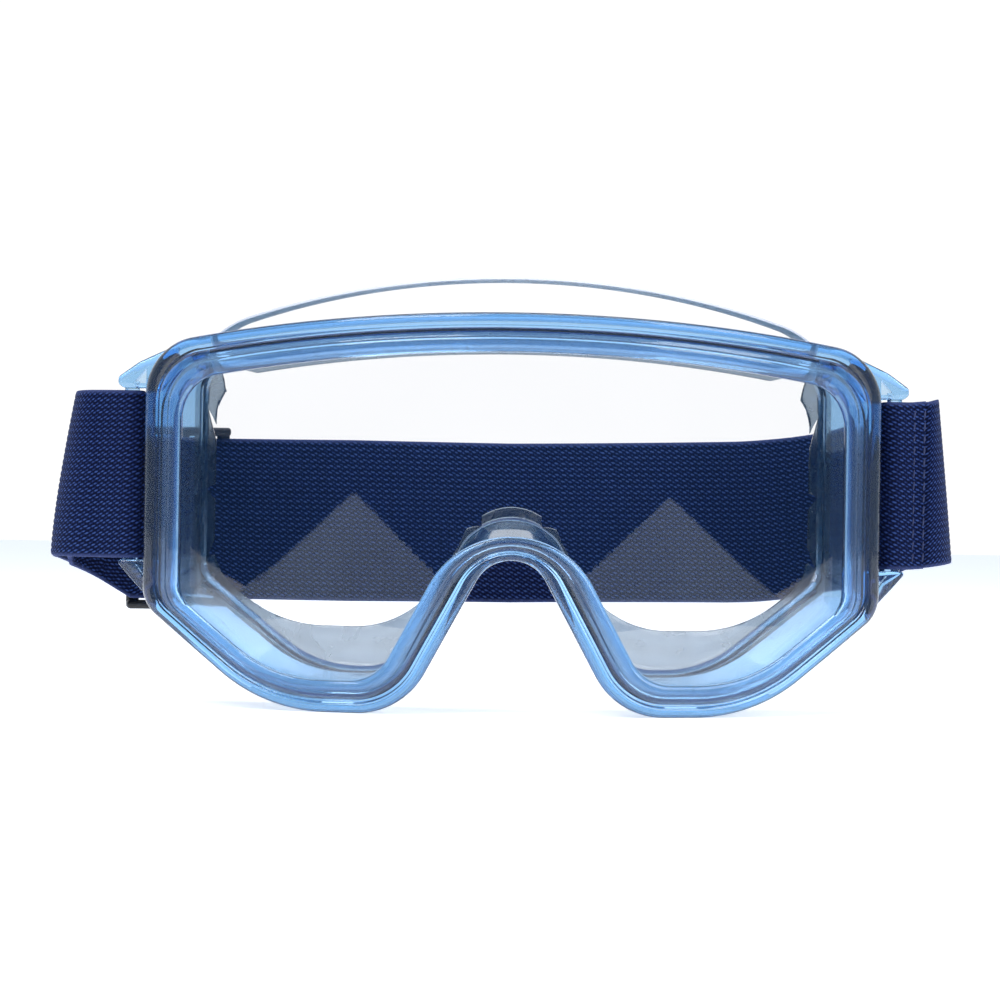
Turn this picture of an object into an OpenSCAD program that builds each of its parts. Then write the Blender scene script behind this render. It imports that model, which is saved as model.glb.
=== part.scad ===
/* [Frame] */
// Width of the front rim across the temples
rim_width = 164.8; // [140:0.1:200]
// Height of the front rim, from the cheek lobes to the middle of the brow
rim_height = 87.2; // [80:0.1:110]
// Radius of the curved front, seen from above
front_radius = 120; // [110:1:170]
// Radius of the curved face side, seen from above
back_radius = 130; // [120:1:180]
// Depth of the moulding on the centre line, front to face side
frame_depth = 34; // [28:0.5:44]
// Thickness of the front rim, front to back
rim_depth = 7; // [6:0.1:10]
// Distance that the side walls stand in from the rim's outer edge
wall_inset = 2.6; // [0.6:0.1:3.2]
// Thickness of the side walls
wall = 1.8; // [1.2:0.1:3]
// Thickness of the flange that seals against the face
flange_thickness = 1.2; // [0.8:0.1:2]
// Slope of the brow line where it meets the temples
brow_angle = 8.4; // [5:0.1:11]
// Length of brow line left straight before each temple
brow_end = 13.4; // [11:0.2:20]
// Height at which the temple meets the cheek line
cheek_height = 22.5; // [15:0.5:30]
// Slope of the cheek line
cheek_angle = 37.8; // [30:0.2:45]
// Half the width of the nose cut-out at the base
nose_half_width = 23.2; // [20:0.1:28]
// Angle of the nose sides from upright
nose_angle = 28.3; // [24:0.1:32]

/* [Rim opening] */
// Width of the rim band along the brow
band_brow = 9.1; // [8:0.1:12]
// Width of the rim band at the temples
band_side = 9; // [7:0.1:12]
// Width of the rim band along the cheeks
band_cheek = 6.7; // [6.5:0.1:10]
// Width of the rim band under the lobes
band_bottom = 7.1; // [6.5:0.1:10]
// Width of the rim band beside the nose
band_nose = 8.5; // [7:0.1:11]

/* [Lens] */
// Thickness of the lens
lens_thickness = 2; // [1.5:0.1:3]
// Depth of the groove that holds the lens edge
groove_depth = 4.3; // [3:0.1:5]
// Thickness of the rim lip in front of the lens
lip = 2.2; // [1.5:0.1:3]
// Gap between the lens and the groove
lens_gap = 0.2; // [0.1:0.05:0.4]
// Width of a lens lug
lug_width = 3.4; // [2.5:0.1:6]
// Length that a lens lug stands past the lens edge
lug_length = 1; // [0.6:0.1:1.2]

/* [Face flange] */
// Width of the flange along the brow
flange_brow = 9; // [6:0.5:14]
// Width of the flange at the temples
flange_side = 15.1; // [8:0.1:18]
// Width of the flange along the cheeks
flange_cheek = 15; // [8:0.5:18]
// Width of the flange over the lobes
flange_bottom = 17.9; // [9:0.5:20]
// Width of the flange beside the nose
flange_nose = 7.2; // [5:0.1:10]
// Height of the flexing notches cut in the flange edge
notch = 3; // [2:0.5:5]

/* [Vent shield] */
// Height of the shield's crown above the base
shield_crown = 95.2; // [90:0.1:120]
// Radius of the shield's arch
shield_radius = 204; // [170:1:260]
// Distance from the centre at which the shield's ends start to bend down
shield_bend = 59; // [45:0.5:64]
// Half the width of the shield
shield_half_width = 66; // [50:0.5:75]
// Thickness of the clear sheet
shield_thickness = 1; // [0.8:0.1:1.5]
// Gap round the shield's feet in the brow wall
shield_gap = 0.3; // [0.2:0.05:0.6]
// Depth of the shield, front to back
shield_depth = 14; // [8:0.5:16]
// Width of each vent in the brow wall
vent_width = 14; // [6:0.5:16]

/* [Headband] */
// Width of the elastic strap
strap_width = 38; // [25:0.5:46]
// Thickness of the elastic strap
strap = 1.4; // [1:0.1:2]
// Spare height of the slot over the strap
slot_spare = 1.6; // [1:0.1:3]
// Height of the strap's middle at the bars
strap_front_z = 51.3; // [48:0.1:60]
// Height of the strap's middle behind
strap_back_z = 41.3; // [38:0.1:60]
// Diameter of the strap bars
bar_diameter = 3.4; // [2.5:0.1:4.5]
// Gap between the strap and the bar it wraps
bar_gap = 0.15; // [0.1:0.05:0.4]
// Clear width of the slot between the bar and the temple wall
slot_width = 4.9; // [3.5:0.1:8]
// Length of sewn strap past the bar
sewn_length = 5.6; // [4:0.1:12]
// Sideways reach of the strap's outer fold
fold_reach = 9.7; // [8:0.1:14]
// Half the depth of the strap's outer fold
fold_depth = 14; // [11:0.5:20]
// Slope of the strap behind the temples, in plan
run_angle = 8; // [5:0.5:12]

/* [Slider] */
// Thickness of the slider's bars
slider_bar_thickness = 1.5; // [1.2:0.1:2.5]
// Length of the slider along the strap
slider_length = 24; // [20:0.5:34]
// Width of the slider's bars
slider_bar = 3; // [2.2:0.1:4]
// Gap between the strap and the slider
slider_gap = 0.3; // [0.2:0.05:0.6]
// Distance of the slider's middle from the left fold, along X
slider_place = 17; // [14:0.5:20]

/* [Hidden] */
$fn = 96;
frost = "#9fb8d6";
clear = "#dfe8f2";
navy = "#1e2a50";
ink = "#15161a";
far = 400;
half_width = rim_width / 2;
wall_outer = half_width - wall_inset;
slot_height = strap_width + slot_spare;
slot_low = strap_front_z - slot_height / 2;
slot_high = strap_front_z + slot_height / 2;
brow_wall_half = shield_half_width + 2.4;
nose_wall_half = nose_half_width + 4.8;
ear_half = 3.3;
bar_root = 2;
bar_x = wall_outer + slot_width + bar_diameter / 2;
bar_y = rim_back_y(half_width) + ear_half + 0.1;
ear_tip = bar_x + bar_diameter / 2 + 1.3;
wrap_radius = bar_diameter / 2 + bar_gap + strap / 2;
seam_x = bar_x + 2.8 + sewn_length;
seam_gap = 0.2;
wrap_lean = 25;
seam_y = bar_y + strap / 2;
fold_y = seam_y + fold_depth;
run_y = fold_y + fold_depth;
flat_x = 30;
back_y = run_y + (seam_x - flat_x) * tan(run_angle);
total_depth = back_y + strap / 2;
inner_fold_step = 3.7;
inner_fold_reach = 3.2;
loop_lead = 0.8;
tail_lead = 1;
ear_root = 9;
vent_pitch = 24;
shield_near = rim_depth + 1.3;
end_fall = 0.03;
foot_length = 8;
foot_high = arch_z(shield_half_width) - shield_thickness / 2;
foot_low = foot_high - foot_length;
flap_foot = 5.3;
flap_top = 7.4;
flap_notch = 39.6;
flap_peak = 47.5;
hem_wall = strap;
hem_y = -(strap / 2 + slider_gap + hem_wall + bar_gap + slider_bar_thickness / 2);
rail = 2;
rail_z = strap_width / 2 + slider_gap;
slider_height = 2 * (rail_z + rail);

// Outline of the rim as corners, from the brow round one lobe to the nose
brow_radius = brow_curve(half_width);
brow_z = rim_height + brow_radius * (1 / cos(brow_angle) - 1);
rim_half = [
    [0, brow_z],
    [half_width, brow_z - half_width * tan(brow_angle)],
    [half_width, cheek_height],
    [half_width - cheek_height / tan(cheek_angle), 0],
    [nose_half_width, 0],
    [0, nose_half_width / tan(nose_angle)]
];
arc_steps = [24, 6, 6, 8, 8, 10];
rim_radii = [brow_radius, 13, 8, 38, 17, 8.5];
opening_radii = [brow_curve(half_width - band_side), 9.5, 6.5, 31, 9.5, 20];
flange_radii = [brow_curve(half_width - flange_side), 11, 12, 30, 22, 12.6];
opening_bands = [band_brow, band_side, band_cheek, band_bottom, band_nose];
flange_bands = [flange_brow, flange_side, flange_cheek, flange_bottom, flange_nose];

function brow_curve(corner_x) = (corner_x - brow_end) / tan(brow_angle);
function unit(v) = v / norm(v);
function mirrored(half) = concat(half, [for (i = [len(half) - 2:-1:1]) [-half[i].x, half[i].y]]);
function both_sides(values) = concat(values, [for (i = [len(values) - 2:-1:1]) values[i]]);
function both_edges(values) = concat(values, [for (i = [len(values) - 1:-1:0]) values[i]]);
function wrap_at(list, i) = list[(i + len(list)) % len(list)];
function same(value) = [for (i = [0:4]) value];
function edge_normal(p, q) = let (d = unit(q - p)) [d.y, -d.x];

// Moves each edge of a clockwise outline inwards by its own distance
function inset_corners(p, d) = [
    for (i = [0:len(p) - 1])
        let (
            n1 = edge_normal(wrap_at(p, i - 1), p[i]),
            n2 = edge_normal(p[i], wrap_at(p, i + 1)),
            d1 = wrap_at(d, i - 1),
            d2 = d[i],
            det = n1.x * n2.y - n1.y * n2.x
        )
        p[i] + (d1 * [n2.y, -n2.x] - d2 * [n1.y, -n1.x]) / det
];

// Arc that rounds corner b, between its legs to a and c
function corner_arc(a, b, c, r, steps) =
    let (
        u = unit(a - b),
        v = unit(c - b),
        half = acos(u * v) / 2,
        centre = b + unit(u + v) * r / sin(half),
        p = b + u * r / tan(half),
        q = b + v * r / tan(half),
        start = atan2(p.y - centre.y, p.x - centre.x),
        raw = atan2(q.y - centre.y, q.x - centre.x) - start,
        turn = raw > 180 ? raw - 360 : raw < -180 ? raw + 360 : raw
    )
    [for (i = [0:steps]) centre + r * [cos(start + turn * i / steps), sin(start + turn * i / steps)]];

function rounded(p, radii) = [
    for (i = [0:len(p) - 1])
        each corner_arc(wrap_at(p, i - 1), p[i], wrap_at(p, i + 1), radii[i],
            wrap_at(both_sides(arc_steps), i))
];

// A rim outline moved inwards, with the corner radii that go with it
function moved(half, distance, radii) =
    rounded(inset_corners(mirrored(half), both_edges(same(distance))),
        both_sides([for (i = [0:5]) i == 5 ? radii[i] + distance : max(radii[i] - distance, 1)]));

opening_corners = inset_corners(mirrored(rim_half), both_edges(opening_bands));
opening_half = [for (i = [0:5]) opening_corners[i]];
flange_corners = inset_corners(mirrored(rim_half), both_edges(flange_bands));
rim_outline = rounded(mirrored(rim_half), both_sides(rim_radii));
opening_outline = rounded(opening_corners, both_sides(opening_radii));
flange_outline = rounded(flange_corners, both_sides(flange_radii));
wall_outline = moved(rim_half, wall_inset, rim_radii);
wall_inner_outline = moved(rim_half, wall_inset + wall, rim_radii);
groove_outline = moved(opening_half, -groove_depth, opening_radii);
lens_outline = moved(opening_half, lens_gap - groove_depth, opening_radii);

function rim_back_y(x) = front_radius - sqrt(pow(front_radius - rim_depth, 2) - x * x);
function arch_z(x) = shield_crown - shield_radius + sqrt(pow(shield_radius, 2) - x * x)
    - end_fall * pow(max(abs(x) - shield_bend, 0), 2);
function back_face_y(x) = frame_depth + back_radius - sqrt(pow(back_radius, 2) - x * x);
function ease(t) = let (s = min(max(t, 0), 1)) s * s * (3 - 2 * s);
function strap_z(y) =
    strap_front_z + (strap_back_z - strap_front_z) * ease((y - fold_y) / (fold_depth - inner_fold_step));

arch_steps = 24;
arch_x = [for (i = [-arch_steps:arch_steps]) shield_half_width * i / arch_steps];
arch_outline = concat([for (x = arch_x) [x, arch_z(x)]],
    [for (i = [2 * arch_steps:-1:0]) [arch_x[i], arch_z(arch_x[i]) - shield_thickness]]);

// Puts a shape into the part's own frame, with the origin under the middle of the whole
module placed() {
    translate([0, -total_depth / 2, 0])
        children();
}

// A front-view outline, carried straight back from y0 to y1
module slab(points, y0, y1) {
    translate([0, y1, 0])
        rotate([90, 0, 0])
            linear_extrude(y1 - y0)
                polygon(points);
}

module ring_slab(outer, inner) {
    difference() {
        slab(outer, -1, far / 4);
        slab(inner, -2, far / 4 + 1);
    }
}

// The solid behind the curved front, starting at a depth under its face
module behind_front(depth) {
    translate([0, front_radius, -1])
        cylinder(r = front_radius - depth, h = far / 2, $fn = 240);
}

// The layer between two depths under the curved front face
module front_layer(near, deep) {
    difference() {
        behind_front(near);
        translate([0, 0, -1])
            behind_front(deep);
    }
}

// Everything behind the curved face side, with a layer of the given thickness added
module behind_face(thickness) {
    translate([0, frame_depth + back_radius, -2])
        cylinder(r = back_radius + thickness, h = far / 2 + 2, $fn = 240);
}

// One lug or its pocket, standing outwards from the lens edge
module lug(place, angle, grow) {
    translate([place.x, -1, place.y])
        rotate([0, -angle, 0])
            translate([-1, 0, -lug_width / 2 - grow])
                cube([1 + lug_length + grow, far / 4, lug_width + 2 * grow]);
}

// The six lens lugs: two at the brow, two over the lobes and two beside the nose
module lugs(grow) {
    reach = groove_depth - lens_gap;
    brow_x = 0.21 * rim_width;
    brow_edge = brow_z - band_brow / cos(brow_angle) - opening_radii[0] * (1 / cos(brow_angle) - 1)
        - pow(brow_x, 2) / 2 / opening_radii[0] + reach;
    half = cheek_angle / 2;
    down = [sin(half), -cos(half)];
    cheek_cut = (opening_radii[3] + reach) * (1 / cos(half) - 1);
    cheek = opening_corners[3] + down * (reach / cos(half) - cheek_cut);
    leg = opening_corners[5] - opening_corners[4];
    nose = opening_corners[4] + leg * 0.33 + unit([-leg.y, leg.x]) * reach;
    for (side = [-1, 1])
        scale([side, 1, 1]) {
            lug([brow_x, brow_edge], 86, grow);
            lug(cheek, half - 90, grow);
            lug(nose, 180 + nose_angle, grow);
        }
}

module front_rim() {
    color(frost)
        placed()
            difference() {
                intersection() {
                    ring_slab(rim_outline, opening_outline);
                    front_layer(0, rim_depth);
                }
                intersection() {
                    union() {
                        slab(groove_outline, -1, far / 4);
                        lugs(lens_gap);
                    }
                    front_layer(lip, lip + lens_thickness + 2 * lens_gap);
                }
            }
}

// Vent openings in the brow wall, behind the rim and under the shield
module vents() {
    for (i = [-2:2]) {
        x = abs(i) * vent_pitch;
        near = rim_back_y(x + vent_width / 2) + 3;
        deep = back_face_y(max(x - vent_width / 2, 0)) - 5;
        translate([i * vent_pitch - vent_width / 2, near, rim_height - 20])
            cube([vent_width, deep - near, 30]);
    }
}

// The shield's feet, grown by a gap where they are used as pockets
module shield_feet(grow) {
    for (side = [-1, 1])
        intersection() {
            translate([side * (shield_half_width - shield_thickness / 2), 0, foot_low - grow])
                translate([-shield_thickness / 2 - grow, -1, 0])
                    cube([shield_thickness + 2 * grow, far / 4, foot_high - foot_low + 2 * grow]);
            front_layer(shield_near + 2 - grow, shield_near + shield_depth - 2 + grow);
        }
}

// The wall between the front rim and the flange, all the way round
module wall_ring() {
    difference() {
        intersection() {
            ring_slab(wall_outline, wall_inner_outline);
            behind_front(rim_depth);
        }
        behind_face(flange_thickness);
        vents();
        shield_feet(shield_gap);
    }
}

// The space that holds the brow's part of the wall
module brow_space() {
    translate([-brow_wall_half, -1, rim_height / 2])
        cube([2 * brow_wall_half, far / 4, rim_height]);
}

// The space that holds the nose's part of the wall
module nose_space() {
    translate([-nose_wall_half, -1, -1])
        cube([2 * nose_wall_half, far / 4, rim_height / 2 + 1]);
}

module brow_wall() {
    color(frost)
        placed()
            intersection() {
                wall_ring();
                brow_space();
            }
}

module nose_wall() {
    color(frost)
        placed()
            intersection() {
                wall_ring();
                nose_space();
            }
}

module side_wall(side) {
    color(frost)
        placed()
            difference() {
                intersection() {
                    wall_ring();
                    scale([side, 1, 1])
                        translate([nose_wall_half, -1, -1])
                            cube([rim_width, far / 4, 2 * rim_height]);
                }
                brow_space();
            }
}

// A V cut in the flange edge at the temple, pointing outwards
module temple_notch(z) {
    edge = half_width - flange_side;
    slab([[edge - 1, z - notch * 0.7], [edge + notch * 0.8, z], [edge - 1, z + notch * 0.7]], 0, far / 4);
}

module face_flange() {
    color(frost)
        placed()
            difference() {
                intersection() {
                    ring_slab(rim_outline, flange_outline);
                    behind_face(flange_thickness);
                }
                behind_face(0);
                for (side = [-1, 1])
                    for (share = [0.4, 0.54, 0.68])
                        scale([side, 1, 1])
                            temple_notch(share * rim_height);
                slab([[-flap_foot, 0], [-flap_foot, flap_notch], [-2 * flap_foot, flap_notch + 3.4],
                    [-2 * flap_top, flap_peak + 9], [2 * flap_top, flap_peak + 9],
                    [2 * flap_foot, flap_notch + 3.4], [flap_foot, flap_notch], [flap_foot, 0]], 0, far / 4);
            }
}

// A tab over the nose that widens upwards to a low peak
module nose_flap() {
    color(frost)
        placed()
            difference() {
                intersection() {
                    slab([[-flap_foot, 0], [-flap_foot, flap_notch], [-flap_top, flap_peak - 2.6],
                        [0, flap_peak], [flap_top, flap_peak - 2.6], [flap_foot, flap_notch],
                        [flap_foot, 0]], 0, far / 4);
                    slab(rim_outline, -1, far / 4);
                    behind_face(flange_thickness);
                }
                behind_face(0);
            }
}

// Ears that carry the ends of one strap bar
module strap_ears(side) {
    inside = wall_outer - ear_root;
    upper_ear = [[inside, slot_high], [ear_tip, slot_high], [ear_tip + 0.4, slot_high + 2.2],
        [ear_tip - 0.8, slot_high + 4], [wall_outer - 1, slot_high + 9], [inside, slot_high + 9]];
    lower_ear = [[inside, slot_low], [inside, slot_low - 7.5], [wall_outer + 1, slot_low - 7.5],
        [ear_tip - 2.2, slot_low - 3.6], [ear_tip - 0.6, slot_low]];
    color(frost)
        placed()
            scale([side, 1, 1])
                difference() {
                    union() {
                        slab(upper_ear, bar_y - ear_half, bar_y + ear_half);
                        slab(lower_ear, bar_y - ear_half, bar_y + ear_half);
                    }
                    slab(wall_outline, -1, far / 4);
                    behind_face(flange_thickness);
                    bar();
                }
}

module bar() {
    translate([bar_x, bar_y, slot_low - bar_root])
        cylinder(d = bar_diameter, h = slot_height + 2 * bar_root);
}

module strap_bar(side) {
    color(frost)
        placed()
            scale([side, 1, 1])
                bar();
}

module lens() {
    color(clear)
        placed()
            intersection() {
                union() {
                    slab(lens_outline, -1, far / 4);
                    lugs(0);
                }
                front_layer(lip + lens_gap, lip + lens_gap + lens_thickness);
            }
}

// A clear arch over the vents, standing in the brow wall on two feet
module vent_shield() {
    color(clear)
        placed()
            union() {
                intersection() {
                    slab(arch_outline, -1, far / 4);
                    front_layer(shield_near, shield_near + shield_depth);
                }
                shield_feet(0);
            }
}

// A ribbon of webbing along a plan route, upright, with its middle height from strap_z
module ribbon(route) {
    last = len(route) - 1;
    points = [
        for (i = [0:last], corner = [[-1, -1], [1, -1], [1, 1], [-1, 1]])
            let (
                d = unit(route[min(i + 1, last)] - route[max(i - 1, 0)]),
                p = route[i] + corner.x * strap / 2 * [-d.y, d.x]
            )
            [p.x, p.y, strap_z(route[i].y) + corner.y * strap_width / 2]
    ];
    sides = [
        for (i = [0:last - 1], k = [0:3])
            [4 * i + k, 4 * i + 4 + k, 4 * i + 4 + (k + 1) % 4, 4 * i + (k + 1) % 4]
    ];
    polyhedron(points, concat([[0, 1, 2, 3]], sides, [[for (k = [3:-1:0]) 4 * last + k]]), convexity = 6);
}

// Points of an elliptical arc in plan
function arc(centre, rx, ry, from, to, steps) =
    [for (i = [0:steps]) let (a = from + (to - from) * i / steps) centre + [rx * cos(a), ry * sin(a)]];

// Route of a fold: a short straight start, half an ellipse, and a straight end
function fold(rx, ry, steps) =
    concat([[seam_x + seam_gap, fold_y - ry]],
        arc([seam_x + 2 * seam_gap, fold_y], rx - 2 * seam_gap, ry, -90, 90, steps),
        [[seam_x, fold_y + ry]]);

// Route round a bar and back, meeting the strap in tangents
function bar_wrap(from, to) = arc([bar_x, bar_y], wrap_radius, wrap_radius, from, to, 20);

wrap_start = [bar_x, bar_y] + wrap_radius * [sin(wrap_lean), -cos(wrap_lean)];
merge_x = wrap_start.x + (wrap_radius * cos(wrap_lean) - strap / 2) / tan(wrap_lean);
slider_x = seam_x - slider_place;
slider_y = run_y + slider_place * tan(run_angle);
hem_end = slider_bar / 2 + bar_gap + hem_wall;

// Points along the strap behind a temple, measured from the fold
function run_point(along, off) =
    [seam_x, run_y] + along * [-cos(run_angle), sin(run_angle)] + off * [sin(run_angle), cos(run_angle)];

module left_strap_loop() {
    color(navy)
        placed()
            scale([-1, 1, 1])
                ribbon(concat([[seam_x, seam_y], [seam_x - loop_lead, seam_y]],
                    bar_wrap(270 + wrap_lean, 90 + wrap_lean / 2),
                    [[seam_x - loop_lead, seam_y + inner_fold_step], [seam_x, seam_y + inner_fold_step]]));
}

module right_strap_loop() {
    color(navy)
        placed()
            ribbon(concat(bar_wrap(270, 90 - wrap_lean), [[merge_x, seam_y], [seam_x, seam_y]]));
}

module right_sewn_tail() {
    color(navy)
        placed()
            ribbon([[bar_x + seam_gap, bar_y - wrap_radius], [bar_x + tail_lead, bar_y - wrap_radius],
                [merge_x, seam_y - strap], [seam_x, seam_y - strap]]);
}

// A row of stitches up the face of a strap
module stitches(rows) {
    pitch = 3.4;
    count = floor((strap_width - 4) / pitch);
    for (x = rows)
        for (i = [0:count - 1])
            translate([x - 0.25, -0.3, (i - (count - 1) / 2) * pitch - 1.1])
                cube([0.5, 0.3, 2.2]);
}

module right_stitching() {
    color(ink)
        placed()
            translate([seam_x, bar_y - strap, strap_front_z])
                stitches([-3.1, -1.1]);
}

module left_fold() {
    color(navy)
        placed()
            scale([-1, 1, 1])
                ribbon(fold(fold_reach, fold_depth, 24));
}

module right_fold() {
    color(navy)
        placed()
            ribbon(fold(fold_reach, fold_depth, 24));
}

module back_strap() {
    color(navy)
        placed()
            ribbon([[-seam_x, run_y], [-flat_x, back_y], [flat_x, back_y], [seam_x, run_y]]);
}

module return_strap() {
    color(navy)
        placed()
            scale([-1, 1, 1])
                ribbon(concat(fold(fold_reach - inner_fold_reach, fold_depth - inner_fold_step, 20),
                    [run_point(slider_place - hem_end - seam_gap, hem_y)]));
}

// Puts a shape on the strap where the slider sits, with X along the strap
module on_strap() {
    translate([-slider_x, slider_y, strap_back_z])
        rotate([0, 0, run_angle])
            children();
}

module slider() {
    rear = strap / 2 + slider_gap;
    color(ink)
        placed()
            on_strap()
                union() {
                    for (side = [-1, 1])
                        translate([-slider_length / 2, hem_y - slider_bar_thickness / 2,
                            side * (rail_z + rail / 2) - rail / 2])
                            cube([slider_length, rear + slider_bar_thickness * 1.5 - hem_y, rail]);
                    for (side = [-1, 1])
                        translate([(side * (slider_length - slider_bar) - slider_bar) / 2, rear,
                            -rail_z - rail / 2])
                            cube([slider_bar, slider_bar_thickness, slider_height - rail]);
                    translate([-slider_bar / 2, hem_y - slider_bar_thickness / 2, -rail_z - rail / 2])
                        cube([slider_bar, slider_bar_thickness, slider_height - rail]);
                }
}

// The sewn end of the strap, wrapped round the slider's middle bar
module slider_hem() {
    half_thick = slider_bar_thickness / 2 + bar_gap;
    half_long = slider_bar / 2 + bar_gap;
    color(navy)
        placed()
            on_strap()
                difference() {
                    translate([-half_long - hem_wall, hem_y - half_thick - hem_wall, -strap_width / 2])
                        cube([2 * (half_long + hem_wall), 2 * (half_thick + hem_wall), strap_width]);
                    translate([-half_long, hem_y - half_thick, -strap_width])
                        cube([2 * half_long, 2 * half_thick, 2 * strap_width]);
                }
}

module hem_stitching() {
    color(ink)
        placed()
            on_strap()
                translate([0, hem_y - slider_bar_thickness / 2 - bar_gap - hem_wall, 0])
                    stitches([-2, 2]);
}

front_rim();
brow_wall();
side_wall(-1);  // left_side_wall
side_wall(1);  // right_side_wall
nose_wall();
face_flange();
nose_flap();
strap_ears(-1);  // left_strap_ears
strap_ears(1);  // right_strap_ears
strap_bar(-1);  // left_strap_bar
strap_bar(1);  // right_strap_bar
lens();
vent_shield();
left_strap_loop();
right_strap_loop();
right_sewn_tail();
right_stitching();
left_fold();
right_fold();
back_strap();
return_strap();
slider();
slider_hem();
hem_stitching();
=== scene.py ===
import math

import bmesh
import bpy
import numpy as np
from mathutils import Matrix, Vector


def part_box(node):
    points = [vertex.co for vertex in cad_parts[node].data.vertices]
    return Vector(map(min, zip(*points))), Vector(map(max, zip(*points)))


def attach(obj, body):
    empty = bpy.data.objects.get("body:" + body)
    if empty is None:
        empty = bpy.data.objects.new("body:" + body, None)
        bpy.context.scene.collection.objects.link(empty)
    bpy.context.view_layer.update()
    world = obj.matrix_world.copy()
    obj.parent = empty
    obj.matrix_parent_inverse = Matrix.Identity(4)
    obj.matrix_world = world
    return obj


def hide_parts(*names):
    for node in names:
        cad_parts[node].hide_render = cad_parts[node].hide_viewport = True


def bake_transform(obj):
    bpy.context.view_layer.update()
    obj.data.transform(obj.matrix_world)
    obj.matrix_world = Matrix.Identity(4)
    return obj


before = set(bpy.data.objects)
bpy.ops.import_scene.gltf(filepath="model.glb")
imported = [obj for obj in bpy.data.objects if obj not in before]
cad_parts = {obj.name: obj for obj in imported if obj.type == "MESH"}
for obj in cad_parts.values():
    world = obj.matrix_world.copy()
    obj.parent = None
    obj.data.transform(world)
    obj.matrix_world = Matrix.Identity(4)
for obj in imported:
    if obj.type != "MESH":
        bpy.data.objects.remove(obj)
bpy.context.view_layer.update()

MM = 0.001

# ---------------------------------------------------------------- sizes, from the CAD boxes
rim_low, rim_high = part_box("front_rim")
HALF_WIDTH = rim_high.x / MM
HEIGHT = rim_high.z / MM
FRONT = rim_low.y / MM                      # the foremost line of the curved front
FRONT_RADIUS = 120.0
BACK_RADIUS = 130.0
DEPTH = 34.0
RIM_DEPTH = 7.0
WALL = 1.8
WALL_INSET = 2.6
RIM_BANDS = [9.1, 9.0, 6.7, 7.1, 8.5]
FLANGE_BANDS = [9, 15.1, 15, 17.9, 7.2]
FLANGE = 1.2
LIP = 2.2
LENS = 2.0
GAP = 0.2
GROOVE = 4.3
EAR_TIP = 89.4
BROW_ANGLE = math.radians(8.4)
BROW_END = 13.4
CHEEK_HEIGHT = 22.5
CHEEK_ANGLE = math.radians(37.8)
NOSE_HALF = 23.2
NOSE_ANGLE = math.radians(28.3)

bar_low, bar_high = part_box("right_strap_bar")
BAR_X = (bar_low.x + bar_high.x) / 2 / MM
BAR_Y = (bar_low.y + bar_high.y) / 2 / MM - FRONT
STRAP_FRONT_Z = (bar_low.z + bar_high.z) / 2 / MM
band_low, band_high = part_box("back_strap")
STRAP_WIDTH = (band_high.z - band_low.z) / MM
STRAP_BACK_Z = (band_low.z + band_high.z) / 2 / MM
BACK_Y = band_high.y / MM - 0.7 - FRONT
STRAP = 1.4
BAR_RADIUS = 1.7
EAR_HALF = 3.3
STITCHES = 13
STITCH_REACH = 17.5


# ---------------------------------------------------------------- outlines
def brow_curve(corner_x):
    """Radius of the long curve that joins the two straight ends of a brow line."""
    return (corner_x - BROW_END) / math.tan(BROW_ANGLE)


def mirrored(half):
    return half + [(-x, z) for x, z in half[-2:0:-1]]


def both(values, middle):
    """A half list of values carried round the other side; middle says that the last one stands alone."""
    return list(values) + list(values[-2:0:-1] if middle else values[::-1])


def inset(corners, distances):
    """Moves each edge of the clockwise outline inwards by its own distance."""
    p = [np.array(c, float) for c in corners]
    out = []
    for i, here in enumerate(p):
        before = here - p[i - 1]
        after = p[(i + 1) % len(p)] - here
        n1 = np.array([before[1], -before[0]]) / np.linalg.norm(before)
        n2 = np.array([after[1], -after[0]]) / np.linalg.norm(after)
        out.append(here + np.linalg.solve(np.array([n1, n2]), [distances[i - 1], distances[i]]))
    return out


BROW_Z = HEIGHT + brow_curve(HALF_WIDTH) * (1 / math.cos(BROW_ANGLE) - 1)
RIM = mirrored([
    (0, BROW_Z),
    (HALF_WIDTH, BROW_Z - HALF_WIDTH * math.tan(BROW_ANGLE)),
    (HALF_WIDTH, CHEEK_HEIGHT),
    (HALF_WIDTH - CHEEK_HEIGHT / math.tan(CHEEK_ANGLE), 0),
    (NOSE_HALF, 0),
    (0, NOSE_HALF / math.tan(NOSE_ANGLE)),
])
ARC_STEPS = both([160, 24, 20, 30, 30, 120], True)
LEG_STEPS = both([14, 96, 30, 12, 56], False)


def rounded(corners, radii):
    """The outline with its corners as arcs, always with the same number of points in the same order."""
    p = [np.array(c, float) for c in corners]
    arcs = []
    for i, b in enumerate(p):
        u = p[i - 1] - b
        v = p[(i + 1) % len(p)] - b
        u /= np.linalg.norm(u)
        v /= np.linalg.norm(v)
        half = math.acos(float(u @ v)) / 2
        r = radii[i]
        centre = b + (u + v) / np.linalg.norm(u + v) * r / math.sin(half)
        start = b + u * r / math.tan(half) - centre
        end = b + v * r / math.tan(half) - centre
        a = math.atan2(start[1], start[0])
        turn = (math.atan2(end[1], end[0]) - a + math.pi) % (2 * math.pi) - math.pi
        angles = a + turn * np.linspace(0, 1, ARC_STEPS[i] + 1)
        arcs.append(centre + r * np.stack([np.cos(angles), np.sin(angles)], 1))
    points = []
    for i, arc in enumerate(arcs):
        points.append(arc)
        following = arcs[(i + 1) % len(arcs)][0]
        share = np.linspace(0, 1, LEG_STEPS[i] + 1)[1:-1, None]
        points.append(arc[-1] * (1 - share) + following * share)
    return np.concatenate(points)


def moved(corners, distance, radii):
    """A rounded outline moved inwards by one distance, with radii to match."""
    shifted = [radii[i] + distance if i == 5 else max(radii[i] - distance, 1) for i in range(6)]
    return rounded(inset(corners, [distance] * len(corners)), both(shifted, True))


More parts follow.
